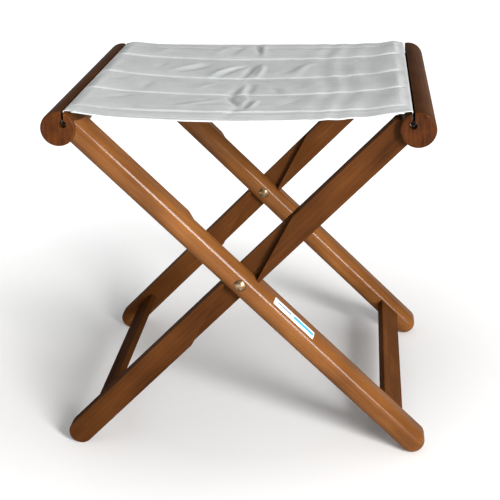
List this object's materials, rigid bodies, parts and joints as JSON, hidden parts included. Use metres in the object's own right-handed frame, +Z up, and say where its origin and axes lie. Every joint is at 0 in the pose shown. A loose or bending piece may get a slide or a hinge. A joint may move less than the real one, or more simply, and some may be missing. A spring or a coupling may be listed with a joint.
{
  "type": "folding stool",
  "caption": "Backless X-frame folding stool in varnished wood with a canvas sling seat between round rails; the frames fold together on brass pivots.",
  "frame": {"origin": "on the floor, midway between the feet", "axes": "+Z up, +Y along the top rails from front to rear, +X to the right seen from the front"},
  "size_m": [0.44, 0.39, 0.4282],
  "materials": {
    "varnished_wood": "satin varnish",
    "dowel_wood": "bare",
    "canvas": "plain woven",
    "brass": "aged",
    "sticker": "gloss"
  },
  "bodies": {
    "left_frame": {"left_frame_front_leg": "varnished_wood", "left_frame_rear_leg": "varnished_wood", "left_rail": "varnished_wood", "left_frame_stretcher": "varnished_wood", "left_rail_dowels": "dowel_wood", "left_stretcher_dowels": "dowel_wood", "left_seat_rod": "dowel_wood", "front_pivot_sleeve": "brass", "front_pivot_screw": "brass", "front_spacer_washer": "brass", "rear_pivot_sleeve": "brass", "rear_pivot_screw": "brass", "rear_spacer_washer": "brass", "seat_cloth": "canvas", "label_sticker": "sticker"},
    "right_frame": {"right_frame_front_leg": "varnished_wood", "right_frame_rear_leg": "varnished_wood", "right_rail": "varnished_wood", "right_frame_stretcher": "varnished_wood", "right_rail_dowels": "dowel_wood", "right_stretcher_dowels": "dowel_wood", "right_seat_rod": "dowel_wood"}
  },
  "joints": [
    {"name": "fold", "type": "hinge", "parent": "left_frame", "child": "right_frame", "pos_m": [0, 0, 0.219], "axis": [0, -1, 0], "range_deg": [0, 73], "deforming": ["seat_cloth"]}
  ]
}
